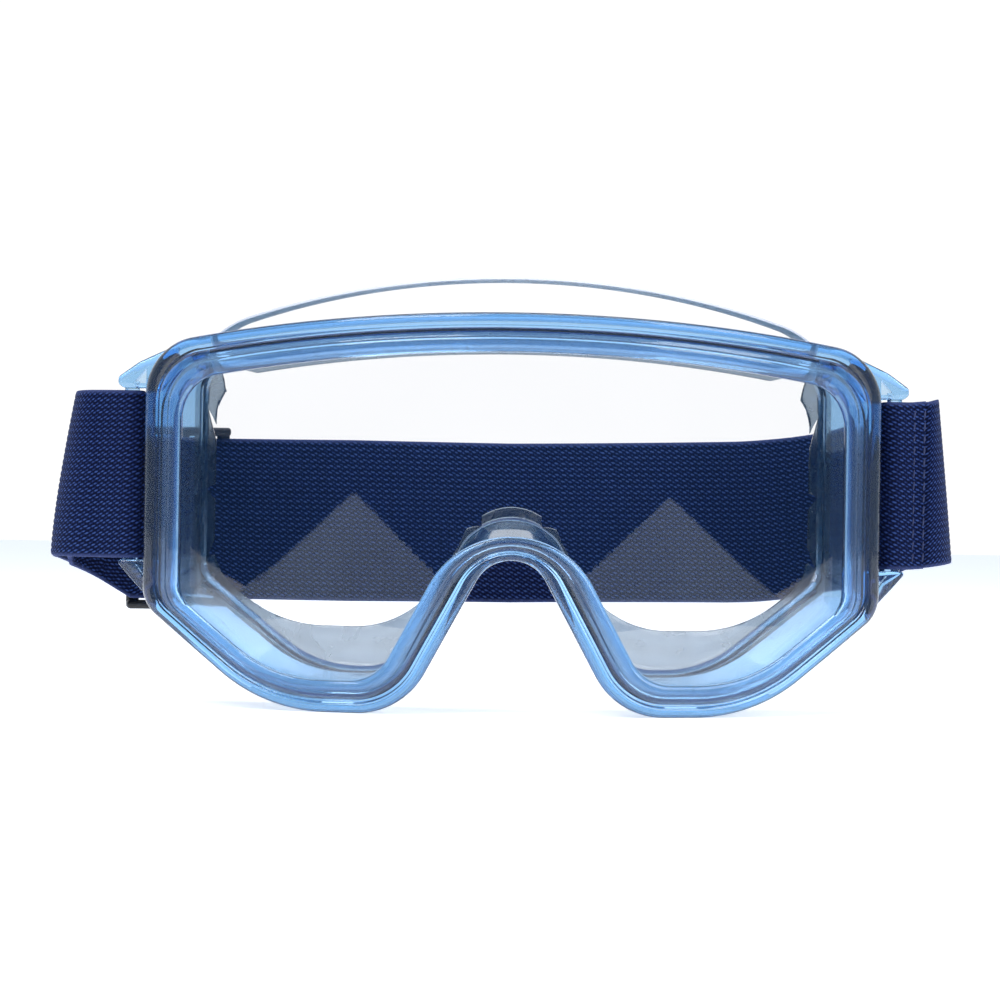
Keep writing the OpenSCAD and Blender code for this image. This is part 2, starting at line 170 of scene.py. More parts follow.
OPENING = inset(RIM, both(RIM_BANDS, False))
RIM_RADII = [brow_curve(HALF_WIDTH), 13, 8, 38, 17, 8.5]
OPENING_RADII = [brow_curve(HALF_WIDTH - RIM_BANDS[1]), 9.5, 6.5, 31, 9.5, 20]
# O and I bound the rim, G is the bottom of its groove, W and V are the wall's two sides at the rim,
# K2 and K its two sides at the flange, and F is the flange's free edge
O = rounded(RIM, both(RIM_RADII, True))
I = rounded(OPENING, both(OPENING_RADII, True))
G = moved(OPENING, -GROOVE, OPENING_RADII)
W = moved(RIM, WALL_INSET, RIM_RADII)
V = moved(RIM, WALL_INSET + WALL, RIM_RADII)
K = rounded(inset(RIM, both([6.2, 13.0, 13.3, 8.5, 6.6], False)),
            both([brow_curve(HALF_WIDTH - 13), 6, 6, 26, 9, 13], True))
K2 = rounded(inset(RIM, both([4.4, 11.2, 11.5, 6.7, 4.8], False)),
             both([brow_curve(HALF_WIDTH - 11), 7, 7, 28, 11, 11], True))
F = rounded(inset(RIM, both(FLANGE_BANDS, False)),
            both([brow_curve(HALF_WIDTH - 15), 11, 12, 30, 22, 12.6], True))


def front_y(x, deep):
    return FRONT_RADIUS - np.sqrt((FRONT_RADIUS - deep) ** 2 - x * x)


def back_y(x, near):
    return DEPTH + BACK_RADIUS - np.sqrt((BACK_RADIUS + near) ** 2 - x * x)


def to_row(x, y, z):
    """Millimetres from the front line to metres in the row frame."""
    return np.stack([x * MM, (y + FRONT) * MM, z * MM], -1)


def row_point(x, y, z):
    return tuple(float(c) for c in to_row(x, y, z))


# ---------------------------------------------------------------- mesh helpers
def new_object(name, vertices, faces, smooth=35):
    mesh = bpy.data.meshes.new(name)
    mesh.from_pydata([tuple(v) for v in vertices], [], faces)
    mesh.validate()
    piece = bpy.data.objects.new(name, mesh)
    bpy.context.scene.collection.objects.link(piece)
    finish_shading(piece, smooth)
    return piece


def finish_shading(piece, smooth=35):
    b = bmesh.new()
    b.from_mesh(piece.data)
    bmesh.ops.recalc_face_normals(b, faces=b.faces)
    b.to_mesh(piece.data)
    b.free()
    piece.data.shade_smooth()
    piece.data.set_sharp_from_angle(angle=math.radians(smooth))


def loft(name, sections, closed_rows=True, smooth=35, second=()):
    """A surface through rows of points; the columns listed in second take the second material."""
    rows, columns, _ = sections.shape
    vertices = sections.reshape(-1, 3)
    faces = []
    for i in range(rows if closed_rows else rows - 1):
        for j in range(columns):
            a = i * columns + j
            b = i * columns + (j + 1) % columns
            c = (i + 1) % rows * columns
            faces.append((a, b, c + (j + 1) % columns, c + j))
    if not closed_rows:
        faces.append(tuple(range(columns - 1, -1, -1)))
        faces.append(tuple((rows - 1) * columns + j for j in range(columns)))
    piece = new_object(name, vertices, faces, smooth)
    for polygon in piece.data.polygons:
        polygon.material_index = int(polygon.index % columns in second)
    return piece


def boolean(piece, cutters, operation):
    for cutter in cutters:
        modifier = piece.modifiers.new("b", "BOOLEAN")
        modifier.object = cutter
        modifier.operation = operation
        modifier.solver = "MANIFOLD"
        bpy.context.view_layer.objects.active = piece
        bpy.ops.object.modifier_apply(modifier=modifier.name)
        bpy.data.objects.remove(cutter)
    finish_shading(piece)


def rounded_prism(name, outline, y0, y1, bevel=0.3, segments=3):
    """A front-view outline in mm carried from y0 to y1, with rounded edges."""
    count = len(outline)
    low = [to_row(x, y0, z) for x, z in outline]
    high = [to_row(x, y1, z) for x, z in outline]
    faces = [tuple(range(count)), tuple(range(2 * count - 1, count - 1, -1))]
    faces += [(i, (i + 1) % count, count + (i + 1) % count, count + i) for i in range(count)]
    piece = new_object(name, low + high, faces)
    if bevel:
        b = bmesh.new()
        b.from_mesh(piece.data)
        bmesh.ops.bevel(b, geom=b.edges[:], offset=bevel * MM, segments=segments, profile=0.5,
                        affect="EDGES", clamp_overlap=True)
        b.to_mesh(piece.data)
        b.free()
        finish_shading(piece)
    return piece


# ---------------------------------------------------------------- materials
def material(name):
    m = bpy.data.materials.new(name)
    m.use_nodes = True
    nodes = m.node_tree.nodes
    return m, nodes, m.node_tree.links, nodes["Principled BSDF"], nodes["Material Output"]


def noise(nodes, links, scale, detail=3, coords="Object", stretch=(1, 1, 1)):
    where = nodes.new("ShaderNodeTexCoord")
    mapping = nodes.new("ShaderNodeMapping")
    mapping.inputs["Scale"].default_value = stretch
    texture = nodes.new("ShaderNodeTexNoise")
    texture.inputs["Scale"].default_value = scale
    texture.inputs["Detail"].default_value = detail
    links.new(where.outputs[coords], mapping.inputs["Vector"])
    links.new(mapping.outputs["Vector"], texture.inputs["Vector"])
    return texture


def ramp(nodes, links, source, stops):
    r = nodes.new("ShaderNodeValToRGB")
    links.new(source, r.inputs["Fac"])
    r.color_ramp.elements[0].position, r.color_ramp.elements[0].color = stops[0][0], (*stops[0][1], 1)
    r.color_ramp.elements[1].position, r.color_ramp.elements[1].color = stops[-1][0], (*stops[-1][1], 1)
    for place, colour in stops[1:-1]:
        r.color_ramp.elements.new(place).color = (*colour, 1)
    return r


def bump(nodes, links, height, strength, distance, shader):
    node = nodes.new("ShaderNodeBump")
    node.inputs["Strength"].default_value = strength
    node.inputs["Distance"].default_value = distance
    links.new(height, node.inputs["Height"])
    links.new(node.outputs["Normal"], shader.inputs["Normal"])
    return node


def gel_material(name, tint, density, colour, roughness, milk):
    """Clear-blue soft PVC: what it absorbs grows with the thickness that light crosses."""
    m, nodes, links, shader, output = material(name)
    shader.inputs["Transmission Weight"].default_value = 1.0 - milk
    shader.inputs["IOR"].default_value = 1.5
    specks = noise(nodes, links, 900, 2)
    base = ramp(nodes, links, specks.outputs["Fac"],
                [(0.22, tuple(c * 0.6 for c in tint)), (0.3, tint), (1.0, tint)])
    links.new(base.outputs["Color"], shader.inputs["Base Color"])
    cloud = noise(nodes, links, 120, 4)
    rough = ramp(nodes, links, cloud.outputs["Fac"],
                 [(0.35, (roughness * 0.7,) * 3), (0.65, (roughness * 1.4,) * 3)])
    links.new(rough.outputs["Color"], shader.inputs["Roughness"])
    ripple = noise(nodes, links, 60, 2)
    bump(nodes, links, ripple.outputs["Fac"], 0.15, 0.0006, shader)
    absorb = nodes.new("ShaderNodeVolumeAbsorption")
    absorb.inputs["Color"].default_value = (*colour, 1)
    absorb.inputs["Density"].default_value = density
    links.new(absorb.outputs["Volume"], output.inputs["Volume"])
    return m


def clear_material(name, tint, ior, roughness, density=0.0, colour=(1, 1, 1)):
    """Clear sheet, with a faint haze and, where a density is given, some absorption."""
    m, nodes, links, shader, output = material(name)
    shader.inputs["Transmission Weight"].default_value = 1.0
    shader.inputs["IOR"].default_value = ior
    haze = noise(nodes, links, 35, 3)
    base = ramp(nodes, links, haze.outputs["Fac"],
                [(0.3, tuple(c * 0.985 for c in tint)), (0.7, tint)])
    links.new(base.outputs["Color"], shader.inputs["Base Color"])
    rough = ramp(nodes, links, haze.outputs["Fac"],
                 [(0.4, (0.0,) * 3), (0.9, (roughness,) * 3)])
    links.new(rough.outputs["Color"], shader.inputs["Roughness"])
    if density:
        absorb = nodes.new("ShaderNodeVolumeAbsorption")
        absorb.inputs["Color"].default_value = (*colour, 1)
        absorb.inputs["Density"].default_value = density
        links.new(absorb.outputs["Volume"], output.inputs["Volume"])
    return m


def math_node(nodes, links, operation, a, b=None, clamp=False):
    node = nodes.new("ShaderNodeMath")
    node.operation = operation
    node.use_clamp = clamp
    for socket, value in zip(node.inputs, (a, b)):
        if value is None:
            continue
        if isinstance(value, (int, float)):
            socket.default_value = value
        else:
            links.new(value, socket)
    return node.outputs[0]


def wave(nodes, links, u, v, per_u, per_v, shift=0.0):
    """A sine over the strap's own coordinates, from 0 to 1, with its periods along and across in mm."""
    a = math_node(nodes, links, "MULTIPLY", u, 10 * 2 * math.pi / per_u)
    b = math_node(nodes, links, "MULTIPLY", v, 10 * 2 * math.pi / per_v)
    both_ways = math_node(nodes, links, "ADD", a, b)
    moved_on = math_node(nodes, links, "ADD", both_ways, shift)
    sine = math_node(nodes, links, "SINE", moved_on)
    half = math_node(nodes, links, "MULTIPLY", sine, 0.5)
    return math_node(nodes, links, "ADD", half, 0.5)


def webbing_material(name):
    """Elastic webbing: rows of slanted knit ticks in two blues, with painted shade darkening the grooves
    between the rows of ribs, paler along the selvedges.
    """
    m, nodes, links, shader, output = material(name)
    where = nodes.new("ShaderNodeUVMap")
    where.uv_map = "strap"
    split = nodes.new("ShaderNodeSeparateXYZ")
    links.new(where.outputs["UV"], split.inputs["Vector"])
    u, v = split.outputs["X"], split.outputs["Y"]
    slant = wave(nodes, links, u, v, 1.5, -0.86)
    cross = wave(nodes, links, u, v, 1.9, 1.41)
    fine = wave(nodes, links, u, v, 0.62, 40.0)
    # painted shade: rows and ribs darken the colour along the grooves between the rows of ribs, on top of
    # the real ribs in the geometry
    rows = wave(nodes, links, u, v, 4000.0, 1.378)
    ribs = math_node(nodes, links, "ADD", math_node(nodes, links, "MULTIPLY", rows, 0.65), 0.35)
    twill = math_node(nodes, links, "MULTIPLY", slant, math_node(nodes, links, "ADD", cross, 0.35))
    ticks = math_node(nodes, links, "MULTIPLY", twill, ribs)
    knit = math_node(nodes, links, "ADD", ticks, math_node(nodes, links, "MULTIPLY", fine, 0.12), clamp=True)
    # the dark end of this ramp is partly the darker yarn and partly painted shade in the gaps between ticks
    # and ribs
    colour = ramp(nodes, links, knit, [(0.05, (0.0006, 0.0018, 0.012)), (0.38, (0.0045, 0.0125, 0.062)),
                                       (0.9, (0.036, 0.075, 0.235))])
    cloud = noise(nodes, links, 28, 4)
    patch = ramp(nodes, links, cloud.outputs["Fac"], [(0.3, (0.82, 0.84, 0.90)), (0.7, (1.1, 1.08, 1.04))])
    tint = nodes.new("ShaderNodeMix")
    tint.data_type = "RGBA"
    tint.blend_type = "MULTIPLY"
    tint.inputs["Factor"].default_value = 1.0
    links.new(colour.outputs["Color"], tint.inputs["A"])
    links.new(patch.outputs["Color"], tint.inputs["B"])
    side = math_node(nodes, links, "ABSOLUTE", v)
    past = math_node(nodes, links, "SUBTRACT", side, 1.80)
    edge = math_node(nodes, links, "MULTIPLY", past, 12.0, clamp=True)
    selvedge = nodes.new("ShaderNodeMix")
    selvedge.data_type = "RGBA"
    links.new(edge, selvedge.inputs["Factor"])
    links.new(tint.outputs["Result"], selvedge.inputs["A"])
    selvedge.inputs["B"].default_value = (0.045, 0.062, 0.16, 1)
    links.new(selvedge.outputs["Result"], shader.inputs["Base Color"])
    rough = ramp(nodes, links, knit, [(0.0, (0.95,) * 3), (1.0, (0.62,) * 3)])
    links.new(rough.outputs["Color"], shader.inputs["Roughness"])
    shader.inputs["Sheen Weight"].default_value = 0.05
    shader.inputs["Sheen Roughness"].default_value = 0.45
    shader.inputs["Sheen Tint"].default_value = (0.40, 0.50, 1.0, 1)
    shader.inputs["Specular IOR Level"].default_value = 0.12
    bump(nodes, links, knit, 0.8, 0.00025, shader)
    return m


def thread_material(name):
    """Dark twisted thread."""
    m, nodes, links, shader, output = material(name)
    twist = noise(nodes, links, 2600, 2, stretch=(1, 1, 3))
    colour = ramp(nodes, links, twist.outputs["Fac"],
                  [(0.3, (0.008, 0.014, 0.05)), (0.7, (0.03, 0.045, 0.13))])
    links.new(colour.outputs["Color"], shader.inputs["Base Color"])
    shader.inputs["Roughness"].default_value = 0.7
    bump(nodes, links, twist.outputs["Fac"], 0.6, 0.0001, shader)
    return m


def black_plastic(name):
    """Black moulded plastic with a fine matt grain."""
    m, nodes, links, shader, output = material(name)
    grain = noise(nodes, links, 1500, 4)
    colour = ramp(nodes, links, grain.outputs["Fac"],
                  [(0.3, (0.006, 0.006, 0.007)), (0.7, (0.018, 0.018, 0.020))])
    links.new(colour.outputs["Color"], shader.inputs["Base Color"])
    rough = ramp(nodes, links, grain.outputs["Fac"], [(0.3, (0.32,) * 3), (0.7, (0.52,) * 3)])
    links.new(rough.outputs["Color"], shader.inputs["Roughness"])
    bump(nodes, links, grain.outputs["Fac"], 0.3, 0.00008, shader)
    return m


def paint(piece, *materials):
    for m in materials:
        piece.data.materials.append(m)


GEL = gel_material("frame_pvc", (0.73, 0.86, 0.97), 150, (0.08, 0.55, 0.84), 0.05, 0.035)
SEAL = gel_material("seal_pvc", (0.40, 0.46, 0.51), 350, (0.40, 0.50, 0.58), 0.22, 0.07)
CLEAR = clear_material("lens_clear", (0.985, 0.99, 1.0), 1.45, 0.003)
SHEET = clear_material("shield_clear", (0.98, 0.985, 0.99), 1.45, 0.004, 95, (0.40, 0.45, 0.52))


# ---------------------------------------------------------------- the soft frame moulding
def mix(a, b, t):
    return a + (b - a) * np.asarray(t)[..., None]


def notch_weight(points):
    """How far the flange edge is cut back at each point: 1 at the bottom of a V, 0 away from it."""
    x, z = points[:, 0], points[:, 1]
    cut = np.zeros(len(points))
    for middle, half in ((73.0, 2.6), (61.0, 1.7), (47.5, 1.7), (35.0, 1.7)):
        cut = np.maximum(cut, np.clip(1 - np.abs(z - middle) / half, 0, 1) * (np.abs(x) > 58))
    return cut


def nose_reach(points):
    """Share of the flange's width that it has over the nose: a tab between two V notches."""
    angle = np.degrees(np.arctan2(points[:, 1] - 25.07, np.abs(points[:, 0])))
    reach = np.ones(len(points))
    over = (points[:, 1] > 20) & (points[:, 1] < 60) & (np.abs(points[:, 0]) < 16)
    steps = [28.3, 40, 57.5, 59.5, 75, 90]
    values = [1.0, 1.2, 0.52, 1.2, 1.25, 1.28]
    reach[over] = np.interp(angle[over], steps, values)
    return reach


def moulding_sections():
    """Profile points of the moulding all the way round, as (station, profile, xyz)."""
    notch = notch_weight(F)
    edge = mix(F, K, notch * 0.95)
    edge = mix(K2, edge, nose_reach(O))
    rows = []

    def front(a, b, t, deep):
        p = mix(a, b, np.full(len(a), t))
        rows.append(to_row(p[:, 0], front_y(p[:, 0], deep), p[:, 1]))

    def back(p, near):
        rows.append(to_row(p[:, 0], back_y(p[:, 0], near), p[:, 1]))

    def between(a, b, t):
        p = mix(a, b, np.full(len(a), t))
        y = front_y(a[:, 0], RIM_DEPTH) * (1 - t) + back_y(b[:, 0], FLANGE) * t
        rows.append(to_row(p[:, 0], y, p[:, 1]))

    # front of the rim: outer ridge, channel, inner ridge
    for t, deep in ((0.0, 3.2), (0.0, 1.6), (0.01, 0.8), (0.035, 0.3), (0.075, 0.06), (0.13, 0.0),
                    (0.2, 0.0), (0.26, 0.03), (0.3, 0.16), (0.325, 0.45), (0.345, 0.75), (0.375, 0.88),
                    (0.42, 0.92), (0.56, 0.9), (0.6, 0.8), (0.625, 0.5), (0.65, 0.28), (0.69, 0.18),
                    (0.76, 0.15), (0.88, 0.2), (0.94, 0.32), (0.975, 0.55), (0.995, 0.95), (1.0, 1.4)):
        front(O, I, t, deep)
    # groove for the lens
    for t, deep in ((0.0, 2.0), (0.04, LIP), (0.5, LIP), (1.0, LIP), (1.0, LIP + LENS + 2 * GAP),
                    (0.5, LIP + LENS + 2 * GAP), (0.04, LIP + LENS + 2 * GAP), (0.0, LIP + LENS + 0.6)):
        front(I, G, t, deep)
    for t, deep in ((0.0, 5.6), (0.01, 6.4), (0.04, 6.8), (0.09, 7.0)):
        front(I, O, t, deep)
    # inner side of the wall, then the flange
    front(V, V, 0, RIM_DEPTH)
    for t in (0.08, 0.25, 0.45, 0.65, 0.8, 0.9, 0.96):
        between(V, K, t)
    seal_start = len(rows)
    back(mix(K, edge, np.full(len(K), 0.06)), FLANGE + 0.25)
    for t in (0.16, 0.4, 0.7, 0.93):
        back(mix(K, edge, np.full(len(K), t)), FLANGE)
    back(mix(K, edge, np.full(len(K), 0.99)), FLANGE * 0.8)
    back(edge, FLANGE * 0.5)
    back(mix(K, edge, np.full(len(K), 0.99)), FLANGE * 0.2)
    for t in (0.93, 0.6, 0.2):
        back(mix(K, edge, np.full(len(K), t)), 0)
    seal_end = len(rows)
    for t in (0.7, 0.35, 0.05):
        back(mix(O, K, np.full(len(K), t)), 0)
    back(O, FLANGE * 0.3)
    back(O, FLANGE * 0.7)
    for t in (0.05, 0.3, 0.6):
        back(mix(O, K2, np.full(len(K), t)), FLANGE)
    back(mix(O, K2, np.full(len(K), 0.95)), FLANGE + 0.25)
    # outer side of the wall, forward to the back of the rim
    for t in (0.94, 0.85, 0.65, 0.45, 0.25, 0.08):
        between(W, K2, t)
    front(W, W, 0, RIM_DEPTH)
    for t, deep in ((0.06, 7.0), (0.025, 6.85), (0.0, 6.3), (0.0, 4.8)):
        front(O, I, t, deep)
    return np.stack(rows, 1), range(seal_start, seal_end)


def frame_moulding():
    sections, seal = moulding_sections()
    piece = loft("frame_moulding", sections, smooth=50, second=seal)
    paint(piece, GEL, SEAL)
    return piece


def ear(side, upper):
    """One ear as a hollow gusset: a plate with a pocket in its front face."""
    if upper:
        z = STRAP_FRONT_Z + STRAP_WIDTH / 2 + 0.4
        outline = [(HALF_WIDTH - 3.4, z), (EAR_TIP - 1.3, z), (EAR_TIP, z + 1.0), (EAR_TIP - 0.1, z + 2.6),
                   (HALF_WIDTH + 2.2, z + 6.0), (HALF_WIDTH - 4.2, z + 9.0), (HALF_WIDTH - 8.6, z + 8.8),
                   (HALF_WIDTH - 7.6, z + 5.2)]
        pocket = [(HALF_WIDTH + 0.6, z + 1.1), (EAR_TIP - 3.4, z + 1.1), (HALF_WIDTH + 0.6, z + 4.6)]
    else:
        z = STRAP_FRONT_Z - STRAP_WIDTH / 2 - 0.4
        outline = [(HALF_WIDTH - 3.4, z), (HALF_WIDTH - 5.4, z - 10.6), (HALF_WIDTH - 2.6, z - 10.8),
                   (EAR_TIP - 3.0, z - 3.6), (EAR_TIP - 0.6, z - 0.8), (EAR_TIP - 0.8, z)]
        pocket = [(HALF_WIDTH + 0.6, z - 1.1), (HALF_WIDTH + 0.6, z - 4.0), (EAR_TIP - 4.4, z - 1.1)]
    if side < 0:
        outline = [(-x, h) for x, h in outline[::-1]]
        pocket = [(-x, h) for x, h in pocket[::-1]]
    plate = rounded_prism("ear", outline, BAR_Y - EAR_HALF, BAR_Y + EAR_HALF, 0.55)
    boolean(plate, [rounded_prism("pocket", pocket, BAR_Y - 6, BAR_Y + 1.6, 0.0)], "DIFFERENCE")
    return plate


def strap_bar(side):
    """The round bar between two ears, which the strap wraps."""
    b = bmesh.new()
    bmesh.ops.create_cone(b, cap_ends=True, segments=40, radius1=BAR_RADIUS * MM, radius2=BAR_RADIUS * MM,
                          depth=(STRAP_WIDTH + 4) * MM)
    place = Vector(row_point(side * BAR_X, BAR_Y, STRAP_FRONT_Z))
    for vertex in b.verts:
        vertex.co += place
    mesh = bpy.data.meshes.new("bar")
    b.to_mesh(mesh)
    b.free()
    piece = bpy.data.objects.new("bar", mesh)
    bpy.context.scene.collection.objects.link(piece)
    return piece


def two_materials(piece, first, second):
    """A union leaves empty material slots behind: whatever is not the second material is the first."""
    slots = list(piece.data.materials)
    seconds = [p.material_index < len(slots) and slots[p.material_index] == second
               for p in piece.data.polygons]
    piece.data.materials.clear()
    paint(piece, first, second)
    for polygon, is_second in zip(piece.data.polygons, seconds):
        polygon.material_index = int(is_second)


def brow_boss(side):
    """The thick block beside each foot of the vent shield, under the brow wall."""
    x, half = 68.4, 1.65
    low, high = 74.8, 78.8
    outline = [(x - half, low), (x + half, low), (x + half, high), (x - half, high)]
    if side < 0:
        outline = [(-a, h) for a, h in outline[::-1]]
    return rounded_prism("brow_boss", outline, front_y(x, 8.0), front_y(x, 22.0), 0.5)


moulding = frame_moulding()
boolean(moulding, [ear(side, upper) for side in (-1, 1) for upper in (True, False)], "UNION")
boolean(moulding, [brow_boss(-1), brow_boss(1)], "UNION")
boolean(moulding, [strap_bar(-1), strap_bar(1)], "UNION")
two_materials(moulding, GEL, SEAL)
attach(moulding, "frame")
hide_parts("front_rim", "brow_wall", "left_side_wall", "right_side_wall", "nose_wall",
            "face_flange", "nose_flap", "left_strap_ears", "right_strap_ears", "left_strap_bar",
            "right_strap_bar")


# ---------------------------------------------------------------- the lens
def lens_piece():
    """A flat slab with the lens outline, cut into fine columns and bent onto the front cylinder."""
    outline = moved(OPENING, GAP - GROOVE, OPENING_RADII)
    keep = outline[::2]
    b = bmesh.new()
    front = [b.verts.new((x * MM, 0, z * MM)) for x, z in keep]
    face = b.faces.new(front)
    b.normal_update()
    for x in np.arange(-77, 77.1, 1.5):
        geometry = b.verts[:] + b.edges[:] + b.faces[:]
        bmesh.ops.bisect_plane(b, geom=geometry, plane_co=(x * MM, 0, 0), plane_no=(1, 0, 0))
    result = bmesh.ops.extrude_face_region(b, geom=b.faces[:])
    moved_up = {v for v in result["geom"] if isinstance(v, bmesh.types.BMVert)}
    for v in b.verts:
        deep = LIP + GAP + (LENS if v in moved_up else 0)
        x = v.co.x / MM
        v.co.y = (FRONT_RADIUS - math.sqrt((FRONT_RADIUS - deep) ** 2 - x * x) + FRONT) * MM
    mesh = bpy.data.meshes.new("lens_sheet")
    b.to_mesh(mesh)
    b.free()
    piece = bpy.data.objects.new("lens_sheet", mesh)
    bpy.context.scene.collection.objects.link(piece)
    finish_shading(piece)
    paint(piece, CLEAR)
    return piece


lens_sheet = lens_piece()
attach(lens_sheet, "frame")
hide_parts("lens")


# ---------------------------------------------------------------- the vent shield
def vent_shield():
    """A thin clear sheet arched over the vents, with softened edges and two feet."""
    low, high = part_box("vent_shield")
    crown, half = high.z / MM, high.x / MM
    radius = 204.0
    bend, fall = 59.0, 0.03
    near, depth, thick = RIM_DEPTH + 1.3, 14.0, 0.6

    def drop(x):
        return radius - math.sqrt(radius ** 2 - x * x) + fall * max(abs(x) - bend, 0) ** 2

    rows = []
    for x in np.linspace(-half, half, 241):
        row = []
        for t, share in ((0.15, 0.0), (0.0, 0.01), (0.0, 0.5), (0.0, 0.99), (0.15, 1.0), (0.85, 1.0),
                         (1.0, 0.99), (1.0, 0.5), (1.0, 0.01), (0.85, 0.0)):
            y = FRONT_RADIUS - math.sqrt((FRONT_RADIUS - near - depth * share) ** 2 - x * x)
            row.append(to_row(x, y, crown - drop(x) - thick * t))
        rows.append(row)
    piece = loft("vent_shield_sheet", np.array(rows), closed_rows=False)
    feet = []
    for side in (-1, 1):
        x = side * (half - thick / 2)
        top = crown - drop(half) - 0.2
        y0 = FRONT_RADIUS - math.sqrt((FRONT_RADIUS - near - 2) ** 2 - x * x)
        y1 = FRONT_RADIUS - math.sqrt((FRONT_RADIUS - near - depth + 2) ** 2 - x * x)
        inner, outer, base = x - thick / 2, x + thick / 2, low.z / MM
        outline = [(inner, base), (outer, base), (outer, top), (inner, top)]
        feet.append(rounded_prism("foot", outline[::-1], y0 + 0.3, y1 - 0.3, 0.15))
    boolean(piece, feet, "UNION")
    paint(piece, SHEET)
    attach(piece, "vent_cover")
    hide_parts("vent_shield")


vent_shield()


# ---------------------------------------------------------------- the headband
RIBS = 27
SEAM_X = BAR_X + 8.4
SEAM_Y = BAR_Y + STRAP / 2
FOLD_DEPTH = 14.0
FOLD_Y = SEAM_Y + FOLD_DEPTH
RUN_Y = FOLD_Y + FOLD_DEPTH
FOLD_REACH = 9.7
INNER_STEP = 3.7
RUN_ANGLE = math.radians(8)
FLAT_X = 30.0
WRAP = 2.55
LEAN = 25
MERGE_X = BAR_X + 4.53
SLIDER_PLACE = 17.0
HEM_Y = -3.3


def strap_height(x, y):
    """Height of the middle of the strap: it comes down behind the temples, more slowly on the right."""
    t = np.clip((y - FOLD_Y) / (FOLD_DEPTH - INNER_STEP), 0, 1)
    folded = STRAP_FRONT_Z + (STRAP_BACK_Z - STRAP_FRONT_Z) * t * t * (3 - 2 * t)
    rise = 0.02 * np.maximum(x, 0) + 0.004 * np.maximum(x - 50, 0) ** 2 + 0.6 * np.maximum(-x - 88.5, 0)
    lifted = np.maximum(folded, np.minimum(STRAP_BACK_Z + rise, STRAP_FRONT_Z))
    return lifted + 0.09 * np.maximum(x - 90, 0)


def arc(centre, rx, ry, start, end, steps=40):
    angles = np.radians(np.linspace(start, end, steps + 1))
    return [(centre[0] + rx * math.cos(a), centre[1] + ry * math.sin(a)) for a in angles]


def on_side(side, points):
    return [(side * x, y) for x, y in points]


def resample(points, step):
    """Points at even steps along a plan route."""
    p = np.array(points, float)
    length = np.concatenate([[0], np.cumsum(np.linalg.norm(np.diff(p, axis=0), axis=1))])
    along = np.linspace(0, length[-1], max(int(length[-1] / step), 2) + 1)
    return np.stack([np.interp(along, length, p[:, i]) for i in range(2)], 1), along


def band_profile(width, thick):
    """Section of the webbing: ribs on both faces and rounded edges, as (across, outwards)."""
    step = np.arange(RIBS * 4 + 1)
    across = (step / step[-1] * 2 - 1) * (width / 2 - 0.4)
    rib = thick / 2 - 0.16 + 0.16 * np.abs(np.sin(np.pi * step / 4)) ** 0.8
    bead = [math.radians(a) for a in (60, 30, 0, -30, -60)]
    top = [(width / 2 - 0.4 + 0.4 * math.cos(a), (thick / 2 - 0.1) * math.sin(a)) for a in bead]
    bottom = [(-v, -w) for v, w in top]
    return np.array(list(zip(across, rib)) + top + list(zip(-across, -rib)) + bottom)


def webbing(name, route, height=strap_height, step=1.0, lean=None, phase=0.0, wave=0.25):
    """A length of ribbed elastic strap on edge along a plan route."""
    p, along = resample(route, step)
    d = np.gradient(p, axis=0)
    for _ in range(2):
        d[1:-1] = (d[:-2] + 2 * d[1:-1] + d[2:]) / 4
    d /= np.linalg.norm(d, axis=1)[:, None]
    normal = np.stack([-d[:, 1], d[:, 0]], 1)
    profile = band_profile(STRAP_WIDTH, STRAP)
    v, w = profile[:, 0][None, :], profile[:, 1][None, :]
    s = along[:, None]
    ends = np.clip(np.minimum(s, s[-1] - s) / 6, 0, 1)
    ripple = wave * ends * np.sin(s / 9.5 + v / 11 + phase) * np.sin(s / 23 + phase)
    x = p[:, :1] + normal[:, :1] * (w + ripple)
    y = p[:, 1:] + normal[:, 1:] * (w + ripple)
    z = height(p[:, :1], p[:, 1:]) + v * (1 - 0.012 * np.abs(np.sin(s / 31 + phase)))
    if lean is not None:
        x, y, z = lean(x, y, z, v)
    piece = loft(name, to_row(x, y, z), closed_rows=False, smooth=60)
    uv = piece.data.uv_layers.new(name="strap")
    flat = np.stack([np.broadcast_to(s, x.shape), np.broadcast_to(v, x.shape)], -1).reshape(-1, 2) / 10
    index = np.array([loop.vertex_index for loop in piece.data.loops])
    uv.data.foreach_set("uv", flat[index].ravel())
    return piece


def fold_lean(x, y, z, v):
    """Flattens the folds, more at the top of the strap than at the bottom, as the photo shows."""
    share = (v / STRAP_WIDTH + 0.5)
    left = 1.06 - 0.5 * share ** 1.5
    right = 0.65 - 0.38 * share
    past = np.maximum(np.abs(x) - SEAM_X, 0)
    keep = np.where(x < 0, left, right)
    return np.where(past > 0, np.sign(x) * (SEAM_X + past * keep), x), y, z


